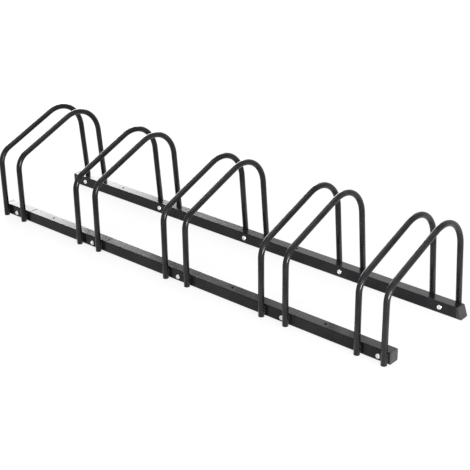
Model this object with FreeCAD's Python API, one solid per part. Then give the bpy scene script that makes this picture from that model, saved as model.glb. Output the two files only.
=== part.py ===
import FreeCAD, Part

import math
import os

# Floor bike rack for five bikes: five pairs of bent tube hoops, welded to the outer faces of two
# square rails that lie on the floor. Each rail is a row of segments that plug into one another.
# X runs along the rack, Y from the front rail to the rear rail, Z up. The origin is on the floor,
# in the middle of the rack's length and depth. All sizes are in millimetres.

# Layout
bays = 5
bay_pitch = 300.0
bay_shifts = {3: 16.0, 4: 26.0}    # right of the even pitch, by bay number, as the rack stands
hoop_gap_pitch = 72.0          # between the two hoops of a bay, axis to axis
rack_depth = 315.0             # front leg to rear leg at the floor, axis to axis

# Hoop tube
tube_diameter = 15.0
tube_wall = 1.0
front_bend_height = 183.0      # where the front leg and the slanted run would meet
apex_height = 294.0            # where the slanted run and the rear leg would meet
rear_leg_lean = 24.0           # how far the rear leg's foot stands behind that upper point
front_bend_radius = 45.0
apex_bend_radius = 85.0
front_bend_steps = 4
apex_bend_steps = 5            # puts a ring at the very top

# Square rails
rail_side = 30.0
rail_wall = 1.2
rail_corner_radius = 2.5
socket_overhang = 19.0         # from a bay's right hoop to the open end of its rail segment
joint_gap = 0.8                # the seam that stays open between two segments
front_end_overhang = 11.0      # from the outermost hoop to the cap's face, front rail
rear_end_overhang = 20.0       # the same on the rear rail

# Sleeves that join the segments
sleeve_clearance = 0.3         # all round, inside the rail
sleeve_wall = 1.2
sleeve_nose = 78.0             # plugs into the segment on its left
sleeve_root = 45.0             # welded inside its own segment

# Bolts, in a hole through both walls of the rail
bolt_diameter = 6.0
bolt_hole_clearance = 0.3
bolt_head_diameter = 12.5
bolt_head_height = 4.0
bolt_head_chamfer = 1.4
front_bolt_height = 12.5       # axis above the floor
rear_bolt_height = 16.5
bolt_tail = 2.0                # thread that stands out of the nut
nut_across_flats = 10.0
nut_thickness = 5.0
front_bolt_shifts = {2: 6.0, 4: 20.0, 5: 16.0}    # right of the bay's middle, by bay number
rear_bolt_shifts = {1: -7.0, 2: -4.0, 3: -9.0, 4: -8.0, 5: 7.0}

# Floor screw holes through the rails, from the left end of a bay's segment, by bay number
floor_hole_diameter = 7.0
front_floor_holes = {2: 82.0, 4: 110.0, 5: 79.0}
rear_floor_holes = {2: 82.0, 4: 99.5, 5: 92.0}

# Plastic end caps
cap_thickness = 3.0
cap_plug_depth = 12.0
cap_plug_clearance = 0.2
cap_plug_wall = 2.0
foot_cap_flare = 10.0          # how far the foot cap's lower edge stands out past its upper edge

# Derived places
tube_radius = tube_diameter / 2
bore_radius = tube_radius - tube_wall
front_leg_y = -rack_depth / 2
rear_leg_y = rack_depth / 2
legs_span = (bays - 1) * bay_pitch + hoop_gap_pitch
overall_length = legs_span + 2 * rear_end_overhang + foot_cap_flare
first_leg_x = rear_end_overhang - overall_length / 2
last_leg_x = first_leg_x + legs_span
lean_angle = math.atan2(rear_leg_lean, apex_height)
front_rail_y = front_leg_y + tube_radius
contact_height = rail_side - rail_corner_radius    # the leaning leg meets the rail at this height
rear_rail_y = (rear_leg_y - contact_height * math.tan(lean_angle)
               - tube_radius / math.cos(lean_angle) - rail_side)

ALONG = FreeCAD.Vector(1, 0, 0)
BACK = FreeCAD.Vector(0, 1, 0)
UP = FreeCAD.Vector(0, 0, 1)


def point(x, y, z):
    return FreeCAD.Vector(x, y, z)


def leg_x(bay, side):
    """X of a hoop's plane: bay counts from 1 at the left, side is 0 for left and 1 for right."""
    shift = bay_shifts.get(bay, 0.0)
    return first_leg_x + (bay - 1) * bay_pitch + shift + side * hoop_gap_pitch


def ring(centre, along, radius):
    """A circle of the tube's section, square to the tube. All rings start on the same side."""
    tilt = math.degrees(math.atan2(-along.y, along.z))
    circle = Part.makeCircle(radius)
    circle.Placement = FreeCAD.Placement(centre, FreeCAD.Rotation(ALONG, tilt))
    return Part.Wire(circle)


def bend_rings(before, corner, after, bend_radius, steps, radius):
    """Rings round one bend, from the end of the run before it to the start of the run after it."""
    into = (corner - before).normalize()
    out = (after - corner).normalize()
    turn = into.getAngle(out)
    centre = corner + (out - into).normalize() * (bend_radius / math.cos(turn / 2))
    start = corner - into * (bend_radius * math.tan(turn / 2))
    axis = into.cross(out)
    rings = []
    for step in range(steps + 1):
        rotation = FreeCAD.Rotation(axis, math.degrees(turn) * step / steps)
        rings.append(ring(centre + rotation.multVec(start - centre), rotation.multVec(into), radius))
    return rings


def hoop(x):
    """One bent tube: front leg, slanted run and leaning rear leg, cut level at the floor."""
    below = tube_diameter
    foot = point(x, front_leg_y, 0)
    front_corner = point(x, front_leg_y, front_bend_height)
    apex = point(x, rear_leg_y - rear_leg_lean, apex_height)
    rear_foot = point(x, rear_leg_y, 0)
    down = (rear_foot - apex).normalize()
    rings = [ring(foot, UP, tube_radius)]
    rings += bend_rings(foot, front_corner, apex, front_bend_radius, front_bend_steps, tube_radius)
    rings += bend_rings(front_corner, apex, rear_foot, apex_bend_radius, apex_bend_steps, tube_radius)
    rings.append(ring(rear_foot + down * below, down, tube_radius))
    tube = Part.makeLoft(rings, True, True)
    under_floor = point(x - below, rear_leg_y - 2 * below, -2 * below)
    floor_cut = Part.makeBox(2 * below, 4 * below, 2 * below, under_floor)
    return tube.cut([floor_cut] + leg_bores(foot, front_corner, apex, rear_foot))


def straight_length(before, corner, after, bend_radius):
    """Length of the run that ends in the bend at this corner."""
    turn = (corner - before).getAngle(after - corner)
    return (corner - before).Length - bend_radius * math.tan(turn / 2)


def leg_bores(foot, front_corner, apex, rear_foot):
    """The tube's bore in both legs, open at the floor and up to the first bend."""
    front_depth = straight_length(foot, front_corner, apex, front_bend_radius)
    rear_depth = straight_length(rear_foot, apex, front_corner, apex_bend_radius)
    up_rear = (apex - rear_foot).normalize()
    start = rear_foot - up_rear * tube_radius
    return [Part.makeCylinder(bore_radius, front_depth, foot, UP),
            Part.makeCylinder(bore_radius, rear_depth + tube_radius, start, up_rear)]


def square_bar(x, length, y, inset=0.0):
    """A square bar along X that lies inside a rail's outline by the inset, with sharp edges."""
    side = rail_side - 2 * inset
    return Part.makeBox(length, side, side, point(x, y + inset, inset))


def rounded_bar(x, length, y):
    """A bar with the rail's own outline, rounded along its four long edges."""
    bar = square_bar(x, length, y)
    long_edges = [edge for edge in bar.Edges
                  if abs(edge.tangentAt(edge.FirstParameter).dot(ALONG)) > 0.99]
    return bar.makeFillet(rail_corner_radius, long_edges)


def square_tube(x, length, y):
    return rounded_bar(x, length, y).cut(square_bar(x, length, y, rail_wall))


def bolt_height(y):
    """Height of the bolts' axis in the rail that starts at this Y."""
    return front_bolt_height if y < 0 else rear_bolt_height


def bolt_hole(x, y):
    """A round hole across the rail, through everything from its front face to its rear face."""
    radius = bolt_diameter / 2 + bolt_hole_clearance
    return Part.makeCylinder(radius, rail_side, point(x, y, bolt_height(y)), BACK)


def floor_hole(x, y):
    return Part.makeCylinder(floor_hole_diameter / 2, rail_side, point(x, y + rail_side / 2, 0), UP)


def segment_start(bay, end_overhang):
    """X where a bay's rail segment starts: at the end cap, or just past the segment on its left."""
    if bay == 1:
        return first_leg_x - end_overhang + cap_thickness
    return leg_x(bay - 1, 1) + socket_overhang + joint_gap


def segment_end(bay, end_overhang):
    if bay == bays:
        return last_leg_x + end_overhang - cap_thickness
    return leg_x(bay, 1) + socket_overhang


def bolt_x(bay, shifts):
    return leg_x(bay, 0) + hoop_gap_pitch / 2 + shifts.get(bay, 0.0)


def rail_segment(bay, y, end_overhang, shifts, floor_holes):
    """One length of square rail, which carries the hoops of one bay at its right-hand end."""
    start = segment_start(bay, end_overhang)
    length = segment_end(bay, end_overhang) - start
    cutters = [bolt_hole(bolt_x(bay, shifts), y)]
    if bay in floor_holes:
        cutters.append(floor_hole(start + floor_holes[bay], y))
    return square_tube(start, length, y).cut(cutters)


def joining_sleeve(bay, y, end_overhang, shifts):
    """Inner square tube of a bay's segment, whose nose plugs into the segment on its left."""
    inset = rail_wall + sleeve_clearance
    start = segment_start(bay, end_overhang) - joint_gap - sleeve_nose
    length = sleeve_nose + joint_gap + sleeve_root
    bore = square_bar(start, length, y, inset + sleeve_wall)
    return square_bar(start, length, y, inset).cut([bore, bolt_hole(bolt_x(bay - 1, shifts), y)])


def bolt(x, y):
    """Pan head bolt from the rail's front face, with its shank through the rail and the nut."""
    head_radius = bolt_head_diameter / 2
    head = Part.makeCylinder(head_radius, bolt_head_height, point(x, y, bolt_height(y)), -BACK)
    rim = [edge for edge in head.Edges
           if edge.isClosed() and abs(edge.CenterOfMass.y - (y - bolt_head_height)) < 0.01]
    head = head.makeChamfer(bolt_head_chamfer, rim)
    reach = rail_side + nut_thickness + bolt_tail
    shank = Part.makeCylinder(bolt_diameter / 2, reach, point(x, y, bolt_height(y)), BACK)
    return head.fuse(shank).removeSplitter()


def nut(x, y):
    """Hexagon nut on the rail's rear face, threaded on the bolt."""
    corner_radius = nut_across_flats / math.sqrt(3)
    height = bolt_height(y)
    corners = []
    for side in range(7):
        turn = math.radians(60 * side)
        corners.append(point(x + corner_radius * math.cos(turn), y + rail_side,
                             height + corner_radius * math.sin(turn)))
    prism = Part.Face(Part.makePolygon(corners)).extrude(BACK * nut_thickness)
    thread = Part.makeCylinder(bolt_diameter / 2, rail_side, point(x, y + rail_side, height), BACK)
    return prism.cut(thread)


def cap_plug(x, y, direction):
    """The hollow plug of an end cap, which fills the rail's bore from x inwards."""
    inset = rail_wall + cap_plug_clearance
    start = x if direction > 0 else x - cap_plug_depth
    hollow = square_bar(start, cap_plug_depth, y, inset + cap_plug_wall)
    return square_bar(start, cap_plug_depth, y, inset).cut(hollow)


def end_cap(x, y, direction):
    """Flat cap on a rail's end. direction is +1 where the rail runs on to the right of x."""
    start = x - cap_thickness if direction > 0 else x
    plate = rounded_bar(start, cap_thickness, y)
    return plate.fuse(cap_plug(x, y, direction)).removeSplitter()


def foot_cap(x, y):
    """Cap on a right-hand end whose outer face slopes out towards the floor."""
    block = rounded_bar(x, cap_thickness + foot_cap_flare, y)
    top = x + cap_thickness
    slope = [point(top, y, rail_side), point(top + foot_cap_flare, y, 0),
             point(top + 2 * foot_cap_flare, y, 0), point(top + 2 * foot_cap_flare, y, rail_side)]
    waste = Part.Face(Part.makePolygon(slope + slope[:1])).extrude(BACK * rail_side)
    return block.cut(waste).fuse(cap_plug(x, y, -1)).removeSplitter()


def rail_parts(name, y, end_overhang, shifts, floor_holes):
    """All pieces of one rail, by node name."""
    parts = {}
    for bay in range(1, bays + 1):
        parts[f"{name}_rail_{bay}"] = rail_segment(bay, y, end_overhang, shifts, floor_holes)
        if bay > 1:
            parts[f"{name}_joint_sleeve_{bay - 1}"] = joining_sleeve(bay, y, end_overhang, shifts)
    places = [bolt_x(bay, shifts) for bay in range(1, bays + 1)]
    parts[f"{name}_bolts"] = Part.makeCompound([bolt(x, y) for x in places])
    parts[f"{name}_nuts"] = Part.makeCompound([nut(x, y) for x in places])
    parts[f"{name}_left_cap"] = end_cap(segment_start(1, end_overhang), y, 1)
    return parts


def all_parts():
    parts = {}
    for bay in range(1, bays + 1):
        parts[f"hoop_{bay}_left"] = hoop(leg_x(bay, 0))
        parts[f"hoop_{bay}_right"] = hoop(leg_x(bay, 1))
    parts.update(rail_parts("front", front_rail_y, front_end_overhang, front_bolt_shifts, front_floor_holes))
    parts.update(rail_parts("rear", rear_rail_y, rear_end_overhang, rear_bolt_shifts, rear_floor_holes))
    parts["front_right_cap"] = end_cap(segment_end(bays, front_end_overhang), front_rail_y, -1)
    parts["rear_right_foot_cap"] = foot_cap(segment_end(bays, rear_end_overhang), rear_rail_y)
    return parts


os.makedirs("parts", exist_ok=True)
for node, shape in all_parts().items():
    shape.exportStep(f"parts/{node}.step")
    print(node, "solids", len(shape.Solids), "volume", round(shape.Volume), "valid", shape.isValid())
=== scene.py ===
import math

import bmesh
import bpy
from mathutils import Matrix, Vector, noise


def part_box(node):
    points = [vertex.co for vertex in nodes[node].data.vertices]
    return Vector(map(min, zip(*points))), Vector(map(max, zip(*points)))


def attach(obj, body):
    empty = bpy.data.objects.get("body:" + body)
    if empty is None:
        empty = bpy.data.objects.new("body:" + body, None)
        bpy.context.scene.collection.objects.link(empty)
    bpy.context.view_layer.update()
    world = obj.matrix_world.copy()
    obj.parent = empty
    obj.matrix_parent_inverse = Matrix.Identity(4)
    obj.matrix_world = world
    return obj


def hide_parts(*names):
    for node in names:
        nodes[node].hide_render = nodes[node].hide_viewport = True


# Floor bike rack, dressed around its CAD frame. Lengths are in metres, as in the frame.
# Only the bolts and nuts are drawn in millimetres, and scaled when they are placed.
MM = 0.001

RAIL_HEIGHT = 30.0 * MM
TUBE_RADIUS = 7.47 * MM  # 0.03 under the part's, so the crest stays inside the part's box
TUBE_BORE_RADIUS = 6.5 * MM

# The hoop's centre line, in Y and Z: the points where its straight runs would meet
FRONT_FOOT = (-157.5 * MM, 0.0)
FRONT_CORNER = (-157.5 * MM, 183.0 * MM)
APEX = (133.5 * MM, 294.0 * MM)
REAR_FOOT = (157.5 * MM, 0.0)

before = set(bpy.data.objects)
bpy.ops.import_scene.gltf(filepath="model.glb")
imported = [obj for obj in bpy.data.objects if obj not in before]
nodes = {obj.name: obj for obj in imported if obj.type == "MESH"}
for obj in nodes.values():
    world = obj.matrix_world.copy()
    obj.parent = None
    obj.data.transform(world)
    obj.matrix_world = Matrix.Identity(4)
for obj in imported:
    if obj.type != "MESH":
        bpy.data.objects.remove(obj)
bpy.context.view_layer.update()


# ---------------------------------------------------------------- materials

def new_material(name):
    """An empty node material, with its tree and its output."""
    material = bpy.data.materials.new(name)
    material.use_nodes = True
    tree = material.node_tree
    tree.nodes.clear()
    return material, tree, tree.nodes.new("ShaderNodeOutputMaterial")


def new_principled(name):
    """A node material that is one Principled shader, with its tree and that shader."""
    material, tree, output = new_material(name)
    shader = tree.nodes.new("ShaderNodeBsdfPrincipled")
    tree.links.new(shader.outputs["BSDF"], output.inputs["Surface"])
    return material, tree, shader


def noise_map(tree, scale, detail=2.0, roughness=0.5, stretch=None):
    """A noise texture in object space. Stretch squeezes it along the axes, for brushed lines."""
    where = tree.nodes.new("ShaderNodeTexCoord").outputs["Object"]
    if stretch:
        mapping = tree.nodes.new("ShaderNodeMapping")
        mapping.inputs["Scale"].default_value = stretch
        tree.links.new(where, mapping.inputs["Vector"])
        where = mapping.outputs["Vector"]
    node = tree.nodes.new("ShaderNodeTexNoise")
    node.inputs["Scale"].default_value = scale
    node.inputs["Detail"].default_value = detail
    node.inputs["Roughness"].default_value = roughness
    tree.links.new(where, node.inputs["Vector"])
    return node.outputs["Fac"]


def mapped(tree, value, source=(0.0, 1.0), target=(0.0, 1.0)):
    """Maps a value from the source range to the target range, clamped."""
    node = tree.nodes.new("ShaderNodeMapRange")
    node.inputs["From Min"].default_value = source[0]
    node.inputs["From Max"].default_value = source[1]
    node.inputs["To Min"].default_value = target[0]
    node.inputs["To Max"].default_value = target[1]
    tree.links.new(value, node.inputs["Value"])
    return node.outputs["Result"]


def combined(tree, operation, first, second):
    """Two values put together by a Math operation, such as MULTIPLY or MAXIMUM."""
    node = tree.nodes.new("ShaderNodeMath")
    node.operation = operation
    tree.links.new(first, node.inputs[0])
    tree.links.new(second, node.inputs[1])
    return node.outputs[0]


def mixed_colour(tree, factor, first, second):
    """Mixes two colours, each either a socket or a plain colour."""
    node = tree.nodes.new("ShaderNodeMix")
    node.data_type = "RGBA"
    tree.links.new(factor, node.inputs["Factor"])
    for socket, value in ((node.inputs[6], first), (node.inputs[7], second)):
        if isinstance(value, tuple):
            socket.default_value = (*value, 1.0)
        else:
            tree.links.new(value, socket)
    return node.outputs[2]


def bumped(tree, height, strength, distance, over=None):
    """A normal that follows a height map, laid over an earlier such normal if there is one."""
    node = tree.nodes.new("ShaderNodeBump")
    node.inputs["Strength"].default_value = strength
    node.inputs["Distance"].default_value = distance
    tree.links.new(height, node.inputs["Height"])
    if over:
        tree.links.new(over, node.inputs["Normal"])
    return node.outputs["Normal"]


def upward(tree):
    """1 on faces that look up, where dust settles, and 0 on steep ones and on undersides."""
    geometry = tree.nodes.new("ShaderNodeNewGeometry")
    parts = tree.nodes.new("ShaderNodeSeparateXYZ")
    tree.links.new(geometry.outputs["Normal"], parts.inputs[0])
    return mapped(tree, parts.outputs["Z"], source=(0.55, 1.0))


def powder_coat():
    """Glossy black powder coat: orange peel, fine grain, a little dust and faint rubbed streaks."""
    dark, light = (0.0055, 0.0055, 0.0065), (0.0105, 0.0105, 0.0115)
    dust_grey, speck_grey = (0.11, 0.108, 0.104), (0.03, 0.03, 0.032)
    material, tree, shader = new_principled("black_powder_coat")
    cloud = mapped(tree, noise_map(tree, scale=22.0, detail=3.0), source=(0.35, 0.65))
    speck = mapped(tree, noise_map(tree, scale=2400.0, detail=1.0), source=(0.70, 0.82))
    patches = noise_map(tree, scale=60.0, detail=4.0)
    settled = mapped(tree, patches, source=(0.40, 0.72), target=(0.0, 0.07))
    dust = combined(tree, "MULTIPLY", upward(tree), settled)
    colour = mixed_colour(tree, cloud, dark, light)
    colour = mixed_colour(tree, dust, colour, dust_grey)
    colour = mixed_colour(tree, combined(tree, "MULTIPLY", speck, cloud), colour, speck_grey)
    tree.links.new(colour, shader.inputs["Base Color"])

    rubbed = noise_map(tree, scale=60.0, detail=3.0, roughness=0.6, stretch=(1.0, 6.0, 6.0))
    roughness = mapped(tree, rubbed, source=(0.35, 0.70), target=(0.17, 0.26))
    tree.links.new(roughness, shader.inputs["Roughness"])
    shader.inputs["IOR"].default_value = 1.5
    shader.inputs["Specular IOR Level"].default_value = 0.16

    orange_peel = noise_map(tree, scale=300.0)
    grain = noise_map(tree, scale=1500.0, detail=1.0)
    normal = bumped(tree, orange_peel, strength=0.25, distance=0.04 * MM)
    normal = bumped(tree, grain, strength=0.10, distance=0.01 * MM, over=normal)
    tree.links.new(normal, shader.inputs["Normal"])
    return material


def zinc():
    """Zinc-plated steel: fine turning lines, patches of passivation and small dull spots."""
    bluish, yellowish, dull = (0.80, 0.81, 0.83), (0.68, 0.69, 0.67), (0.55, 0.55, 0.54)
    material, tree, shader = new_principled("zinc")
    patch = mapped(tree, noise_map(tree, scale=380.0, detail=3.0), source=(0.38, 0.64))
    spots = mapped(tree, noise_map(tree, scale=2600.0), source=(0.62, 0.75))
    colour = mixed_colour(tree, patch, bluish, yellowish)
    colour = mixed_colour(tree, spots, colour, dull)
    tree.links.new(colour, shader.inputs["Base Color"])
    shader.inputs["Metallic"].default_value = 1.0

    lines = noise_map(tree, scale=1800.0, stretch=(1.0, 0.12, 1.0))
    roughness = mapped(tree, lines, source=(0.3, 0.7), target=(0.24, 0.42))
    tree.links.new(roughness, shader.inputs["Roughness"])

    normal = bumped(tree, lines, strength=0.15, distance=0.02 * MM)
    normal = bumped(tree, spots, strength=0.20, distance=0.02 * MM, over=normal)
    tree.links.new(normal, shader.inputs["Normal"])
    return material


def plastic():
    """Moulded black plastic with a spark-eroded grain."""
    dark, light = (0.012, 0.012, 0.013), (0.019, 0.019, 0.020)
    material, tree, shader = new_principled("cap_plastic")
    cloud = mapped(tree, noise_map(tree, scale=70.0, detail=3.0), source=(0.35, 0.65))
    tree.links.new(mixed_colour(tree, cloud, dark, light), shader.inputs["Base Color"])
    worn = noise_map(tree, scale=900.0)
    roughness = mapped(tree, worn, source=(0.3, 0.7), target=(0.42, 0.58))
    tree.links.new(roughness, shader.inputs["Roughness"])
    shader.inputs["Specular IOR Level"].default_value = 0.4
    grain = noise_map(tree, scale=1900.0)
    normal = bumped(tree, grain, strength=0.35, distance=0.06 * MM)
    tree.links.new(normal, shader.inputs["Normal"])
    return material


def dress_nodes(coat, fastener_metal, cap_plastic):
    """Gives each CAD node the finish of its kind."""
    for name, node in nodes.items():
        finish = coat
        if name.endswith("cap"):
            finish = cap_plastic
        elif "bolts" in name or "nuts" in name:
            finish = fastener_metal
        node.data.materials.clear()
        node.data.materials.append(finish)


# ---------------------------------------------------------------- mesh helpers

def ride_on_rack(name, mesh, replaced):
    """An object that moves with the rack and stands for the nodes that it replaces, if any."""
    piece = bpy.data.objects.new(name, mesh)
    bpy.context.scene.collection.objects.link(piece)
    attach(piece, "root")
    if replaced:
        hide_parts(*replaced)
    return piece


def new_piece(name, vertices, faces, material, replaced=(), smooth=None):
    """A piece made from its mesh data. Smooth says, for each face, whether it is rounded."""
    mesh = bpy.data.meshes.new(name)
    mesh.from_pydata([tuple(v) for v in vertices], [], faces)
    mesh.polygons.foreach_set("use_smooth", smooth if smooth else [True] * len(faces))
    mesh.materials.append(material)
    mesh.validate()
    mesh.update()
    return ride_on_rack(name, mesh, replaced)


def circle(centre, sideways, across, radius, sides):
    """Points round a centre, in the plane of two directions at right angles."""
    ring = []
    for i in range(sides):
        angle = 2 * math.pi * i / sides
        ring.append(centre + (sideways * math.cos(angle) + across * math.sin(angle)) * radius)
    return ring


def band(first, second, sides, flip=False):
    """Quads between two rings of vertices, given the number of each ring's first vertex."""
    faces = []
    for i in range(sides):
        j = (i + 1) % sides
        face = (first + i, first + j, second + j, second + i)
        faces.append(face[::-1] if flip else face)
    return faces


def lid(first, sides, flip=False):
    """One face over a ring of vertices, given the number of its first vertex."""
    face = tuple(first + i for i in range(sides))
    return face[::-1] if flip else face


def append_mesh(vertices, faces, more_vertices, more_faces):
    """Adds a mesh's vertices and faces to lists that already hold others."""
    base = len(vertices)
    vertices += more_vertices
    faces += [tuple(base + v for v in face) for face in more_faces]


# ---------------------------------------------------------------- hoops

FRONT_BEND_RADIUS = 45.0 * MM
APEX_BEND_RADIUS = 85.0 * MM
FRONT_BEND_STEPS = 22
APEX_BEND_STEPS = 40
TUBE_SIDES = 48


def bend(before, corner, after, radius, steps):
    """Points and directions round one bend in the Y-Z plane, ends included."""
    into = (corner - before).normalized()
    out = (after - corner).normalized()
    turn = into.angle(out)
    centre = corner + (out - into).normalized() * (radius / math.cos(turn / 2))
    start = corner - into * (radius * math.tan(turn / 2))
    axis = into.cross(out).normalized()
    stops = []
    for step in range(steps + 1):
        rotation = Matrix.Rotation(turn * step / steps, 3, axis)
        stops.append((centre + rotation @ (start - centre), rotation @ into))
    return stops


def hoop_line(x):
    """The tube's centre line as (point, direction), from the front foot to the rear foot."""
    corners = [Vector((x, y, z)) for y, z in (FRONT_FOOT, FRONT_CORNER, APEX, REAR_FOOT)]
    foot, front, apex, rear = corners
    line = [(foot, (front - foot).normalized())]
    line += bend(foot, front, apex, FRONT_BEND_RADIUS, FRONT_BEND_STEPS)
    line += bend(front, apex, rear, APEX_BEND_RADIUS, APEX_BEND_STEPS)
    line.append((rear, (rear - apex).normalized()))
    return line


def tube_rings(line, radius):
    """Rings round the centre line. The first and the last one lie flat on the floor."""
    sideways = Vector((1, 0, 0))
    rings = []
    for centre, along in line:
        rings.append(circle(centre, sideways, along.cross(sideways), radius, TUBE_SIDES))
    for end in (0, -1):
        along = line[end][1]
        rings[end] = [spot - along * (spot.z / along.z) for spot in rings[end]]
    return rings


def make_hoop(name, material):
    """One hollow bent tube, closed at both feet by the ring of its wall."""
    low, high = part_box(name)
    line = hoop_line((low.x + high.x) / 2)
    rings = tube_rings(line, TUBE_RADIUS) + tube_rings(line, TUBE_BORE_RADIUS)
    vertices = [spot for ring in rings for spot in ring]
    starts = [TUBE_SIDES * number for number in range(len(rings))]
    outer, inner = starts[:len(line)], starts[len(line):]
    faces = []
    for k in range(len(line) - 1):
        faces += band(outer[k], outer[k + 1], TUBE_SIDES)
        faces += band(inner[k], inner[k + 1], TUBE_SIDES, flip=True)
    rounded = [True] * len(faces)
    faces += band(inner[0], outer[0], TUBE_SIDES)
    faces += band(inner[-1], outer[-1], TUBE_SIDES, flip=True)
    rounded += [False] * (len(faces) - len(rounded))
    new_piece(name + "_tube", vertices, faces, material, [name], rounded)


# ---------------------------------------------------------------- rails

END_EASE = 0.9 * MM  # radius of the eased rim at a segment's ends
END_EASE_CUTS = (1.0, 0.6, 0.25)  # where vertices are cut in for it, as shares of the ease
RIM_DEPTH = 1.0 * MM  # vertices nearer than this to the outer faces belong to the rim
CUT_TOLERANCE = 1e-7
JOIN_DISTANCE = 0.004 * MM  # vertices nearer than this to each other become one
FLAT_NORMAL = 0.99995  # a flat face's normal has a component above this
ROUNDED_ANGLE = math.radians(28)  # the shading runs on over edges that turn less than this


def ease_ends(shape, low, high):
    """Rounds the outer rim of a segment's two cut ends, as a deburred and coated end is."""
    for share in END_EASE_CUTS:
        for x in (low.x + END_EASE * share, high.x - END_EASE * share):
            everything = shape.verts[:] + shape.edges[:] + shape.faces[:]
            bmesh.ops.bisect_plane(shape, geom=everything, dist=CUT_TOLERANCE,
                                   plane_co=(x, 0, 0), plane_no=(1, 0, 0))
    middle = (low + high) / 2
    half = RAIL_HEIGHT / 2
    for vertex in shape.verts:
        depth = min(vertex.co.x - low.x, high.x - vertex.co.x)
        across = Vector((0, vertex.co.y - middle.y, vertex.co.z - middle.z))
        if depth > END_EASE or max(abs(across.y), abs(across.z)) < half - RIM_DEPTH:
            continue
        short = 1 - max(0.0, depth) / END_EASE
        inset = END_EASE * (1 - math.sqrt(1 - short * short))
        vertex.co -= across * (inset / half)


def join_close_vertices(shape):
    """Makes one vertex of those that lie on each other."""
    bmesh.ops.remove_doubles(shape, verts=shape.verts, dist=JOIN_DISTANCE)


def keep_flats_flat(shape):
    """Rounds the shading of corners and rims only, and cuts it off at every flat face."""
    shape.normal_update()
    for face in shape.faces:
        face.smooth = True
    for edge in shape.edges:
        flat = any(max(abs(c) for c in face.normal) > FLAT_NORMAL for face in edge.link_faces)
        edge.smooth = not flat and edge.calc_face_angle(0.0) < ROUNDED_ANGLE


def make_rail(name, material):
    """A rail segment with its own shape and holes, and eased ends that show the seams."""
    low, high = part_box(name)
    mesh = nodes[name].data.copy()
    mesh.name = name + "_segment"
    shape = bmesh.new()
    shape.from_mesh(mesh)
    join_close_vertices(shape)
    ease_ends(shape, low, high)
    join_close_vertices(shape)
    bmesh.ops.dissolve_degenerate(shape, dist=JOIN_DISTANCE, edges=shape.edges)
    keep_flats_flat(shape)
    shape.to_mesh(mesh)
    shape.free()
    mesh.materials.clear()
    mesh.materials.append(material)
    ride_on_rack(name + "_segment", mesh, [name])


# ---------------------------------------------------------------- welds

BEAD_RADIUS = 1.55 * MM
BEAD_SIDES = 12
RIPPLE_LENGTH = 1.8 * MM
RINGS_PER_RIPPLE = 8
CALM_SIZE, RIPPLE_SIZE, WANDER_SIZE = 0.90, 0.13, 0.10  # shares of the radius
SIDE_WANDER = 0.12  # how far the bead strays from its seam, as a share of the radius
END_SIZE = 0.25  # share of the full size at a bead's ends
END_GROWTH = 6  # rise of that share for each length of the bead
WANDER_RATE, SEED_RATE = 9.0, 3.7  # steps through the noise for each length and each seed
WANDER_LAYER = 0.5  # the third coordinate in that noise
SEEDS_PER_METRE = 10  # along the rack, so that no two hoops have the same beads

BEAD_BOTTOM = 3.0 * MM
BEAD_TOP = RAIL_HEIGHT - 3.5 * MM
FRONT_BEAD_OFFSET = 5.1 * MM  # to each side of the leg's middle
REAR_BEAD_OFFSET = 4.6 * MM
REAR_BEAD_OUT = 1.2 * MM  # from the rail's face outwards, to the middle of the bead
REAR_BEAD_LENGTH = 12 * MM  # the leaning leg is close to the rail's face over this height


def weld_bead(start, end, seed):
    """A rippled bead along a straight seam, thin at both ends, as a closed mesh."""
    length = (end - start).length
    along = (end - start).normalized()
    across = along.cross(Vector((1, 0, 0))).normalized()
    sideways = across.cross(along)
    count = int(length / (RIPPLE_LENGTH / RINGS_PER_RIPPLE))
    vertices, faces = [], []
    for k in range(count + 1):
        share = k / count
        ripple = abs(math.sin(math.pi * share * length / RIPPLE_LENGTH))
        fade = min(1.0, END_GROWTH * min(share, 1 - share) + END_SIZE)
        wander = noise.noise(Vector((seed * SEED_RATE, share * WANDER_RATE, WANDER_LAYER)))
        size = BEAD_RADIUS * fade * (CALM_SIZE + RIPPLE_SIZE * ripple + WANDER_SIZE * wander)
        centre = start.lerp(end, share) + sideways * (wander * BEAD_RADIUS * SIDE_WANDER)
        vertices += circle(centre, sideways, across, size, BEAD_SIDES)
        if k:
            faces += band((k - 1) * BEAD_SIDES, k * BEAD_SIDES, BEAD_SIDES)
    faces.append(lid(0, BEAD_SIDES, flip=True))
    faces.append(lid(count * BEAD_SIDES, BEAD_SIDES))
    return vertices, faces


def weld_legs(hoop, material):
    """The two beads beside each leg of a hoop, where it stands against the rail's outer face."""
    low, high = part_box(hoop)
    x = (low.x + high.x) / 2
    front_y = FRONT_FOOT[0] + TUBE_RADIUS - BEAD_RADIUS
    rear_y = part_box("rear_rail_1")[1].y + REAR_BEAD_OUT
    seams = []
    for side in (-1, 1):
        seams.append((x + side * FRONT_BEAD_OFFSET, front_y, BEAD_BOTTOM))
        seams.append((x + side * REAR_BEAD_OFFSET, rear_y, BEAD_TOP - REAR_BEAD_LENGTH))
    vertices, faces = [], []
    for number, bottom in enumerate(seams):
        top = (bottom[0], bottom[1], BEAD_TOP)
        bead = weld_bead(Vector(bottom), Vector(top), seed=number + x * SEEDS_PER_METRE)
        append_mesh(vertices, faces, *bead)
    new_piece(hoop + "_welds", vertices, faces, material)


# ---------------------------------------------------------------- bolts and nuts

SOLID_GAP = 20 * MM  # the bolts of a rail stand further apart than this
SHARP_ANGLE = math.radians(32)
FIRST_TURN, TURN_STEP = 0.35, 0.9  # radians by which the recesses of a rail's bolts are turned

# The other sizes and the shapes of bolts and nuts are in millimetres, with the seat at y 0
FASTENER_SIDES = 96

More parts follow.
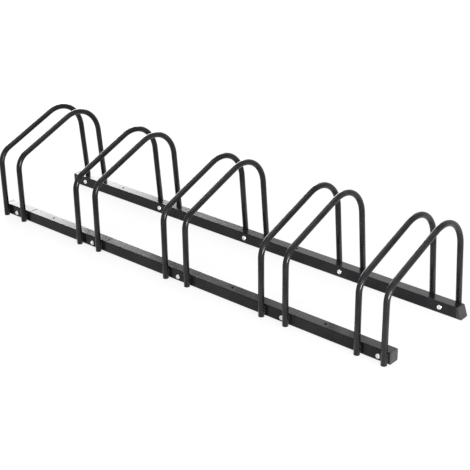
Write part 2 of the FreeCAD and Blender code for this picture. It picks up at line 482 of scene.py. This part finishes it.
HEAD_RADIUS = 6.2
HEAD_HEIGHT = 4.0
HEAD_RINGS = 34
HEAD_RIM = 0.25  # height of the head's widest ring above the seat
SEAT_RADIUS = 6.0
CROWN_SHARE = 0.60  # the flatter crown reaches to this share of the radius
CROWN_DROP = 0.18  # fall of the crown from its middle to its edge
SHOULDER_DROP = 0.62  # share of the height by which the shoulder falls

RECESS_DEPTH = 2.1  # in the middle of the head
RECESS_SLOPE = 0.45  # depth lost for each millimetre along an arm
RECESS_HALF_WIDTH = (0.55, 0.80)  # where the wall of an arm starts and ends, across the arm
RECESS_REACH = (2.3, 3.1)  # the same along the arm

SHANK_RADIUS = 2.95
THREAD_LENGTH = 12.0
THREAD_PITCH = 1.0
THREAD_DEPTH = 0.55
THREAD_RINGS = 72
THREAD_RUN_IN = 0.3  # from the plain shank to the first ring of the thread
TAPER_RINGS = 5  # the last rings, which narrow to the tip
TIP_TAPER = 0.14  # share by which the tip is narrower

NUT_FLATS = 10.0
NUT_BORE_RADIUS = 3.02
NUT_MOUTH_RADIUS = 3.4  # of the countersink at both ends of the bore
NUT_MOUTH_DEPTH = 0.35
NUT_RING_SHARES = (0.0, 0.35, 0.7, 0.85, 0.93, 1.0)  # from the mouth out to the corners
CORNER_START = 0.97  # the chamfer of the corners starts at this share of half the flats
CORNER_SLOPE = 0.55


def solids_along_x(node):
    """The box of each separate solid in a node whose solids stand in a row along X."""
    points = sorted((v.co.copy() for v in nodes[node].data.vertices), key=lambda p: p.x)
    groups = [[points[0]]]
    for spot in points[1:]:
        if spot.x - groups[-1][-1].x > SOLID_GAP:
            groups.append([])
        groups[-1].append(spot)
    boxes = []
    for group in groups:
        low = Vector([min(p[i] for p in group) for i in range(3)])
        high = Vector([max(p[i] for p in group) for i in range(3)])
        boxes.append((low, high))
    return boxes


def smooth_step(low, high, value):
    """0 up to low, 1 from high on, and a smooth rise between them."""
    t = min(1.0, max(0.0, (value - low) / (high - low)))
    return t * t * (3 - 2 * t)


def recess_depth(u, v):
    """Depth of the cross recess at a place on a bolt's head."""
    depth = 0.0
    for a, b in ((u, v), (v, u)):
        within = (1 - smooth_step(*RECESS_HALF_WIDTH, abs(b))) * (1 - smooth_step(*RECESS_REACH, abs(a)))
        depth = max(depth, within * (RECESS_DEPTH - RECESS_SLOPE * abs(a)))
    return depth


def head_height(radius):
    """Height of the pan head above its seat at a radius, without the recess."""
    shoulder = HEAD_RADIUS * CROWN_SHARE
    if radius <= shoulder:
        return HEAD_HEIGHT - CROWN_DROP * (radius / shoulder) ** 2
    t = (radius - shoulder) / (HEAD_RADIUS - shoulder)
    fall = 1 - math.sqrt(max(0.0, 1 - t * t))
    return (HEAD_HEIGHT - CROWN_DROP) - (HEAD_HEIGHT * SHOULDER_DROP) * fall


def round_ring(radius, y):
    """A ring of one radius. A ring is a function from an angle to (radius, y)."""
    return lambda angle: (radius, y)


def head_ring(radius, turn):
    """A ring on the head, sunk where it crosses the recess."""
    def ring(angle):
        u, v = radius * math.cos(angle + turn), radius * math.sin(angle + turn)
        return radius, -(head_height(radius) - recess_depth(u, v))
    return ring


def thread_ring(y, taper):
    """A ring on the helical thread, made smaller by the taper."""
    def ring(angle):
        phase = (y / THREAD_PITCH - angle / (2 * math.pi)) % 1.0
        return (SHANK_RADIUS - THREAD_DEPTH * (1 - abs(2 * phase - 1))) * taper, y
    return ring


def nut_ring(share, face_y, inward):
    """A ring on a nut's face, from its mouth to its corners, which are chamfered inward."""
    half = NUT_FLATS / 2

    def ring(angle):
        reach = half / math.cos((angle % (math.pi / 3)) - math.pi / 6)
        radius = NUT_MOUTH_RADIUS + (reach - NUT_MOUTH_RADIUS) * share
        return radius, face_y + inward * max(0.0, radius - half * CORNER_START) * CORNER_SLOPE
    return ring


def revolve(rings):
    """Vertices of the rings round the Y axis, and the quads between them."""
    vertices, faces = [], []
    for ring in rings:
        for i in range(FASTENER_SIDES):
            angle = 2 * math.pi * i / FASTENER_SIDES
            radius, y = ring(angle)
            vertices.append((radius * math.cos(angle), y, radius * math.sin(angle)))
    for k in range(len(rings) - 1):
        faces += band(k * FASTENER_SIDES, (k + 1) * FASTENER_SIDES, FASTENER_SIDES, flip=True)
    return vertices, faces


def bolt_mesh(length, turn):
    """A pan-head bolt, with its head towards -Y and its shank and thread to +Y."""
    plain = length - THREAD_LENGTH
    rings = [head_ring(HEAD_RADIUS * k / HEAD_RINGS, turn) for k in range(1, HEAD_RINGS + 1)]
    rings += [round_ring(HEAD_RADIUS, -HEAD_RIM), round_ring(SEAT_RADIUS, 0.0)]
    rings += [round_ring(SHANK_RADIUS, 0.0), round_ring(SHANK_RADIUS, plain - THREAD_RUN_IN)]
    for k in range(THREAD_RINGS + 1):
        y = plain + THREAD_LENGTH * k / THREAD_RINGS
        taper = 1 - smooth_step(THREAD_RINGS - TAPER_RINGS, THREAD_RINGS, k) * TIP_TAPER
        rings.append(thread_ring(y, taper))
    vertices, faces = revolve(rings)
    faces.append(lid(0, FASTENER_SIDES))
    faces.append(lid((len(rings) - 1) * FASTENER_SIDES, FASTENER_SIDES, flip=True))
    return vertices, faces


def nut_mesh(thick):
    """A chamfered hexagon nut on its seat, open for the bolt."""
    rings = [round_ring(NUT_BORE_RADIUS, NUT_MOUTH_DEPTH)]
    rings += [nut_ring(share, 0.0, inward=1) for share in NUT_RING_SHARES]
    rings += [nut_ring(share, thick, inward=-1) for share in reversed(NUT_RING_SHARES)]
    rings.append(round_ring(NUT_BORE_RADIUS, thick - NUT_MOUTH_DEPTH))
    vertices, faces = revolve(rings)
    faces += band((len(rings) - 1) * FASTENER_SIDES, 0, FASTENER_SIDES, flip=True)
    return vertices, faces


def place_fasteners(node, seat, boxes, meshes, material):
    """Puts each mesh at the middle of its solid, seated at a Y, and stands for the node."""
    vertices, faces = [], []
    for (low, high), (points, quads) in zip(boxes, meshes):
        x, z = (low.x + high.x) / 2, (low.z + high.z) / 2
        placed = [(x + a * MM, seat + b * MM, z + c * MM) for a, b, c in points]
        append_mesh(vertices, faces, placed, quads)
    piece = new_piece(node + "_detail", vertices, faces, material, [node])
    piece.data.shade_smooth()
    piece.data.set_sharp_from_angle(angle=SHARP_ANGLE)


def make_bolts(rail, material):
    """The bolts of a rail, with their heads on its front face."""
    node = rail + "_bolts"
    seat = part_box(rail + "_rail_1")[0].y
    boxes = solids_along_x(node)
    meshes = []
    for number, (low, high) in enumerate(boxes):
        meshes.append(bolt_mesh((high.y - seat) / MM, FIRST_TURN + TURN_STEP * number))
    place_fasteners(node, seat, boxes, meshes, material)


def make_nuts(rail, material):
    """The nuts of a rail, on its rear face."""
    node = rail + "_nuts"
    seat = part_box(rail + "_rail_1")[1].y
    boxes = solids_along_x(node)
    meshes = [nut_mesh((high.y - seat) / MM) for low, high in boxes]
    place_fasteners(node, seat, boxes, meshes, material)


# ---------------------------------------------------------------- floor and surroundings

FLOOR_REACH = 30.0  # from the middle to each side
FLOOR_GREY = 0.90
FLOOR_GLOW = 0.80  # share of plain white in the floor that is seen directly
AMBIENT_STRENGTH = 0.64  # of the surroundings where they only light
SEEN_STRENGTH = 1.0  # of the white that the camera and reflections see


def seen_directly(tree):
    """1 for camera, glossy and transmission rays, 0 for the rest."""
    path = tree.nodes.new("ShaderNodeLightPath")
    seen = combined(tree, "MAXIMUM", path.outputs["Is Camera Ray"], path.outputs["Is Glossy Ray"])
    return combined(tree, "MAXIMUM", seen, path.outputs["Is Transmission Ray"])


def floor_material():
    """White floor: what the camera and reflections see is mostly plain white, with a soft shadow."""
    material, tree, output = new_material("stage_floor")
    diffuse = tree.nodes.new("ShaderNodeBsdfDiffuse")
    diffuse.inputs["Color"].default_value = (FLOOR_GREY, FLOOR_GREY, FLOOR_GREY, 1)
    white = tree.nodes.new("ShaderNodeEmission")
    white.inputs["Strength"].default_value = SEEN_STRENGTH
    mix = tree.nodes.new("ShaderNodeMixShader")
    glow = mapped(tree, seen_directly(tree), target=(0.0, FLOOR_GLOW))
    tree.links.new(glow, mix.inputs["Fac"])
    tree.links.new(diffuse.outputs[0], mix.inputs[1])
    tree.links.new(white.outputs[0], mix.inputs[2])
    tree.links.new(mix.outputs[0], output.inputs["Surface"])
    return material


def make_floor():
    """A wide floor at z 0."""
    mesh = bpy.data.meshes.new("stage_floor")
    corners = [(-1, -1), (1, -1), (1, 1), (-1, 1)]
    mesh.from_pydata([(x * FLOOR_REACH, y * FLOOR_REACH, 0) for x, y in corners], [], [(0, 1, 2, 3)])
    mesh.materials.append(floor_material())
    floor = bpy.data.objects.new("stage_floor", mesh)
    bpy.context.scene.collection.objects.link(floor)


def make_world():
    """White surroundings, at full strength where they are seen and softer where they only light."""
    world = bpy.data.worlds.new("studio")
    bpy.context.scene.world = world
    world.use_nodes = True
    tree = world.node_tree
    tree.nodes.clear()
    output = tree.nodes.new("ShaderNodeOutputWorld")
    background = tree.nodes.new("ShaderNodeBackground")
    background.inputs["Color"].default_value = (1.0, 1.0, 1.0, 1.0)
    strength = mapped(tree, seen_directly(tree), target=(AMBIENT_STRENGTH, SEEN_STRENGTH))
    tree.links.new(strength, background.inputs["Strength"])
    tree.links.new(background.outputs[0], output.inputs["Surface"])


# ---------------------------------------------------------------- lights and camera

def softbox(name, place, target, size, radiance):
    """A rectangular soft light that faces the target. Radiance 1 is as bright as white paper."""
    width, height = size
    light = bpy.data.lights.new(name, "AREA")
    light.shape = "RECTANGLE"
    light.size = width
    light.size_y = height
    light.energy = radiance * math.pi * width * height
    lamp = bpy.data.objects.new(name, light)
    bpy.context.scene.collection.objects.link(lamp)
    lamp.location = place
    towards = Vector(target) - Vector(place)
    lamp.rotation_euler = towards.to_track_quat("-Z", "Y").to_euler()


def make_lights():
    """Five softboxes. The rail tops mirror the back left one, and the low one lights right faces."""
    softbox("softbox_back_left", place=(-3.0, 2.30, 0.93), target=(0.0, 2.30, 0.63),
            size=(3.3, 1.25), radiance=12.0)
    softbox("softbox_back", place=(-1.36, 3.12, 1.88), target=(0.3, 0.0, 0.0),
            size=(1.4, 1.0), radiance=1.75)
    softbox("softbox_right_low", place=(2.3, -0.65, 0.21), target=(0.0, -0.30, 0.16),
            size=(1.2, 0.32), radiance=78.0)
    softbox("softbox_front", place=(2.2, -3.0, 2.3), target=(0.0, 0.0, 0.1),
            size=(2.2, 1.8), radiance=3.6)
    softbox("softbox_top", place=(0.0, 0.2, 3.2), target=(0.0, 0.0, 0.0),
            size=(2.2, 1.4), radiance=2.6)


# The photograph's viewpoint, as fitted to it: right of the front and above, with a long lens
CAMERA_AZIMUTH = math.radians(40.779)
CAMERA_ELEVATION = math.radians(25.514)
CAMERA_ROLL = math.radians(-0.847)
CAMERA_DISTANCE = 3.0134
CAMERA_TARGET = Vector((48.99, 25.38, 73.23)) * MM
FOCAL_PIXELS = 1177.42
PHOTO_WIDTH = 470  # pixels
SENSOR_WIDTH = 36.0  # millimetres, as Blender takes it


def make_camera():
    """The camera at the photograph's viewpoint."""
    azimuth, elevation, roll = CAMERA_AZIMUTH, CAMERA_ELEVATION, CAMERA_ROLL
    back = Vector((math.sin(azimuth) * math.cos(elevation),
                   -math.cos(azimuth) * math.cos(elevation), math.sin(elevation)))
    right = Vector((math.cos(azimuth), math.sin(azimuth), 0))
    up = back.cross(right)
    turned_right = right * math.cos(roll) + up * math.sin(roll)
    turned_up = up * math.cos(roll) - right * math.sin(roll)
    data = bpy.data.cameras.new("camera")
    data.sensor_fit = "HORIZONTAL"
    data.sensor_width = SENSOR_WIDTH
    data.lens = FOCAL_PIXELS / PHOTO_WIDTH * SENSOR_WIDTH
    camera = bpy.data.objects.new("camera", data)
    bpy.context.scene.collection.objects.link(camera)
    rotation = Matrix((turned_right, turned_up, back)).transposed().to_4x4()
    camera.matrix_world = Matrix.Translation(CAMERA_TARGET + back * CAMERA_DISTANCE) @ rotation
    bpy.context.scene.camera = camera


# ---------------------------------------------------------------- build

make_camera()
coat, fastener_metal, cap_plastic = powder_coat(), zinc(), plastic()
dress_nodes(coat, fastener_metal, cap_plastic)

for name in sorted(n for n in nodes if n.startswith("hoop_")):
    make_hoop(name, coat)
    weld_legs(name, coat)

for name in sorted(n for n in nodes if "_rail_" in n):
    make_rail(name, coat)

for rail in ("front", "rear"):
    make_bolts(rail, fastener_metal)
    make_nuts(rail, fastener_metal)

make_floor()
make_world()
make_lights()
bpy.context.scene.view_settings.view_transform = "Standard"
